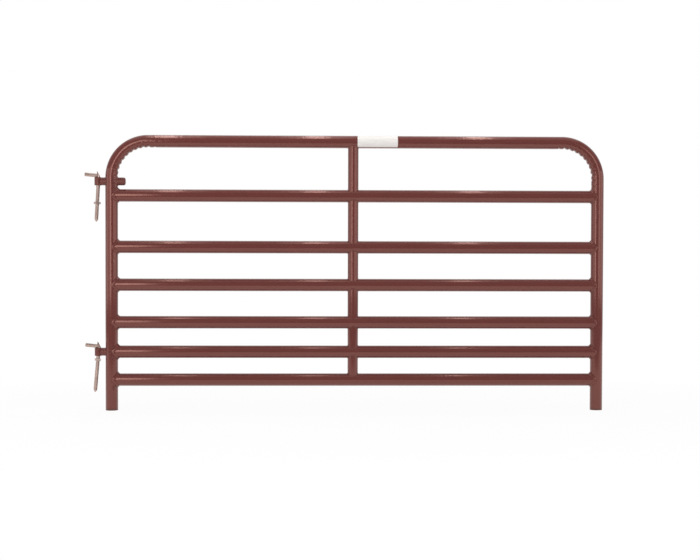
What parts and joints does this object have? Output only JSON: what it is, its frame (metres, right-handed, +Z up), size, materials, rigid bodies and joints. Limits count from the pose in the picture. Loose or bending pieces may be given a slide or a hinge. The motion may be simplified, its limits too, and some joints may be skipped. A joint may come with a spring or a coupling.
{
  "type": "livestock gate",
  "caption": "Painted tube livestock gate with a crimp-bent frame, welded cross rails and stays, and loose hook bolts hanging in its hinge eyes",
  "frame": {"origin": "centre of the lower hinge eye, on the hinge axis", "axes": "+X along the gate to its latch side, +Z up along the hinge axis, the front faces -Y"},
  "size_m": [2.4981, 0.0667, 1.321],
  "materials": {
    "gate_paint": "glossy red-brown coat",
    "hook_zinc": "dull zinc plate"
  },
  "bodies": {
    "gate": {"frame_hoop": "gate_paint", "rail_1": "gate_paint", "rail_2": "gate_paint", "rail_3": "gate_paint", "rail_4": "gate_paint", "rail_5": "gate_paint", "rail_6": "gate_paint", "stay_1": "gate_paint", "stay_2": "gate_paint", "stay_3": "gate_paint", "stay_4": "gate_paint", "stay_5": "gate_paint", "stay_6": "gate_paint", "upper_hinge_eye": "gate_paint", "lower_hinge_eye": "gate_paint", "upper_hinge_bar": "gate_paint", "lower_hinge_bar": "gate_paint"},
    "upper_hook": {"upper_hook": "hook_zinc"},
    "upper_nut": {"upper_hook_nut": "hook_zinc"},
    "lower_hook": {"lower_hook": "hook_zinc"},
    "lower_nut": {"lower_hook_nut": "hook_zinc"}
  },
  "joints": [
    {"name": "upper_hook_swivel", "type": "hinge", "parent": "gate", "child": "upper_hook", "pos_m": [0, 0, 0.817], "axis": [0, 0, 1], "range_deg": [-156, 128]},
    {"name": "upper_nut_turn", "type": "hinge", "parent": "upper_hook", "child": "upper_nut", "pos_m": [-0.00328, -0.00082, 0.71363], "axis": [0.0542, 0.0135, 0.9984], "continuous": true},
    {"name": "lower_hook_swivel", "type": "hinge", "parent": "gate", "child": "lower_hook", "pos_m": [0, 0, 0], "axis": [0, 0, 1], "range_deg": [-170, 114]},
    {"name": "lower_nut_turn", "type": "hinge", "parent": "lower_hook", "child": "lower_nut", "pos_m": [-0.00154, -0.00082, -0.03791], "axis": [0.08, 0.0425, 0.9959], "continuous": true}
  ]
}
